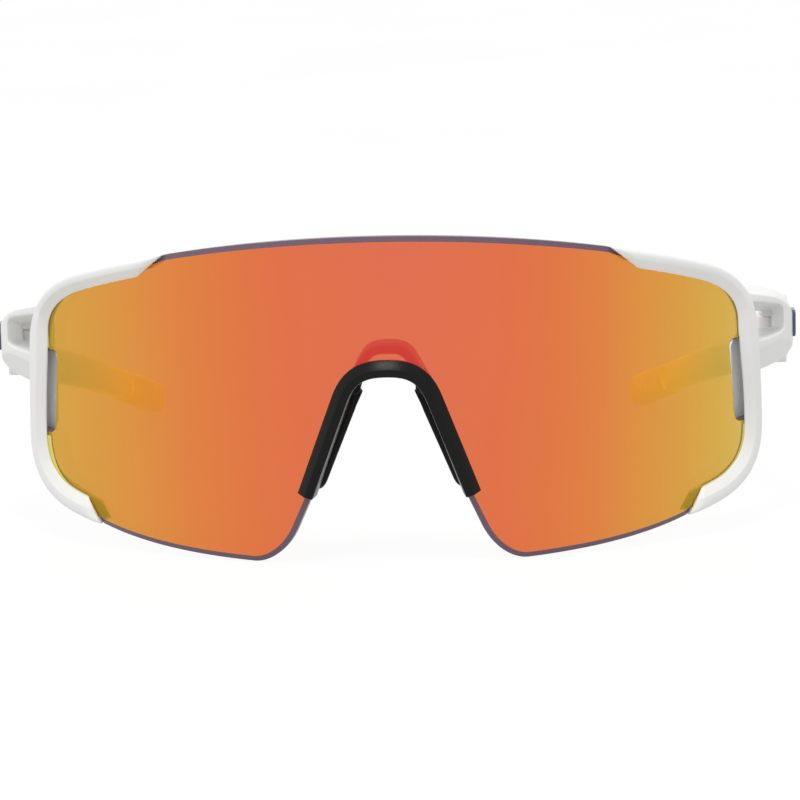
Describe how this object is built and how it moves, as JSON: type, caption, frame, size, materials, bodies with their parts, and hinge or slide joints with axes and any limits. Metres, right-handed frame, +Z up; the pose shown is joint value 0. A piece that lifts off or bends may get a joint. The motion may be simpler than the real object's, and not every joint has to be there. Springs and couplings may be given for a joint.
{
  "type": "wraparound sport sunglasses",
  "caption": "Half-rim wraparound sport sunglasses: one-piece mirrored shield lens in white side frames, folding temples with soft ear grips, black nosepiece with bendable pads.",
  "frame": {"origin": "middle of the bounding box in X and Y, at the height of the table that the glasses rest on", "axes": "+Z up, -Y the way the wearer looks, +X the wearer's left; the lens is an upright cylinder and the glasses rest on its two lower lobes and the ear grips"},
  "size_m": [0.1493, 0.1595, 0.0587],
  "materials": {
    "lens_coating": "polished polycarbonate with a red-orange mirror coating that turns yellow at a slant",
    "frame_white": "satin white moulded nylon",
    "screw_steel": "turned steel",
    "insert_brass": "turned brass",
    "grip_rubber": "soft matte, off-white",
    "core_wire": "drawn wire",
    "badge_navy": "smooth navy plate, blank",
    "nose_black": "satin black",
    "pad_rubber": "soft matte black"
  },
  "bodies": {
    "front": {"shield_lens": "lens_coating", "side_frame_left": "frame_white", "side_frame_right": "frame_white", "end_badge_left": "badge_navy", "end_badge_right": "badge_navy", "hinge_screw_left": "screw_steel", "hinge_screw_right": "screw_steel", "hinge_insert_left": "insert_brass", "hinge_insert_right": "insert_brass", "nose_clip": "nose_black", "nose_bridge": "nose_black"},
    "left_temple": {"temple_left": "frame_white"},
    "right_temple": {"temple_right": "frame_white"},
    "left_ear_tip": {"ear_grip_left": "grip_rubber", "tip_wire_left": "core_wire"},
    "right_ear_tip": {"ear_grip_right": "grip_rubber", "tip_wire_right": "core_wire"},
    "left_nose_pad": {"nose_pad_left": "pad_rubber", "pad_wire_left": "core_wire"},
    "right_nose_pad": {"nose_pad_right": "pad_rubber", "pad_wire_right": "core_wire"}
  },
  "joints": [
    {"name": "left_temple_fold", "type": "hinge", "parent": "front", "child": "left_temple", "pos_m": [0.0705, -0.0323, 0.03535], "axis": [0, 0, 1], "range_deg": [-5, 86]},
    {"name": "right_temple_fold", "type": "hinge", "parent": "front", "child": "right_temple", "pos_m": [-0.0705, -0.0323, 0.03535], "axis": [0, 0, -1], "range_deg": [0, 80]},
    {"name": "left_tip_bend", "type": "hinge", "parent": "left_temple", "child": "left_ear_tip", "pos_m": [0.05382, 0.03699, 0.013], "axis": [-0.9809, -0.1948, 0], "range_deg": [-10, 10]},
    {"name": "right_tip_bend", "type": "hinge", "parent": "right_temple", "child": "right_ear_tip", "pos_m": [-0.06041, 0.03825, 0.013], "axis": [-0.9948, 0.1016, 0], "range_deg": [-10, 10]},
    {"name": "left_pad_bend", "type": "hinge", "parent": "front", "child": "left_nose_pad", "pos_m": [0.0062, -0.0677, 0.0308], "axis": [0, -1, 0], "range_deg": [-6, 8]},
    {"name": "right_pad_bend", "type": "hinge", "parent": "front", "child": "right_nose_pad", "pos_m": [-0.0062, -0.0677, 0.0308], "axis": [0, 1, 0], "range_deg": [-6, 8]}
  ]
}
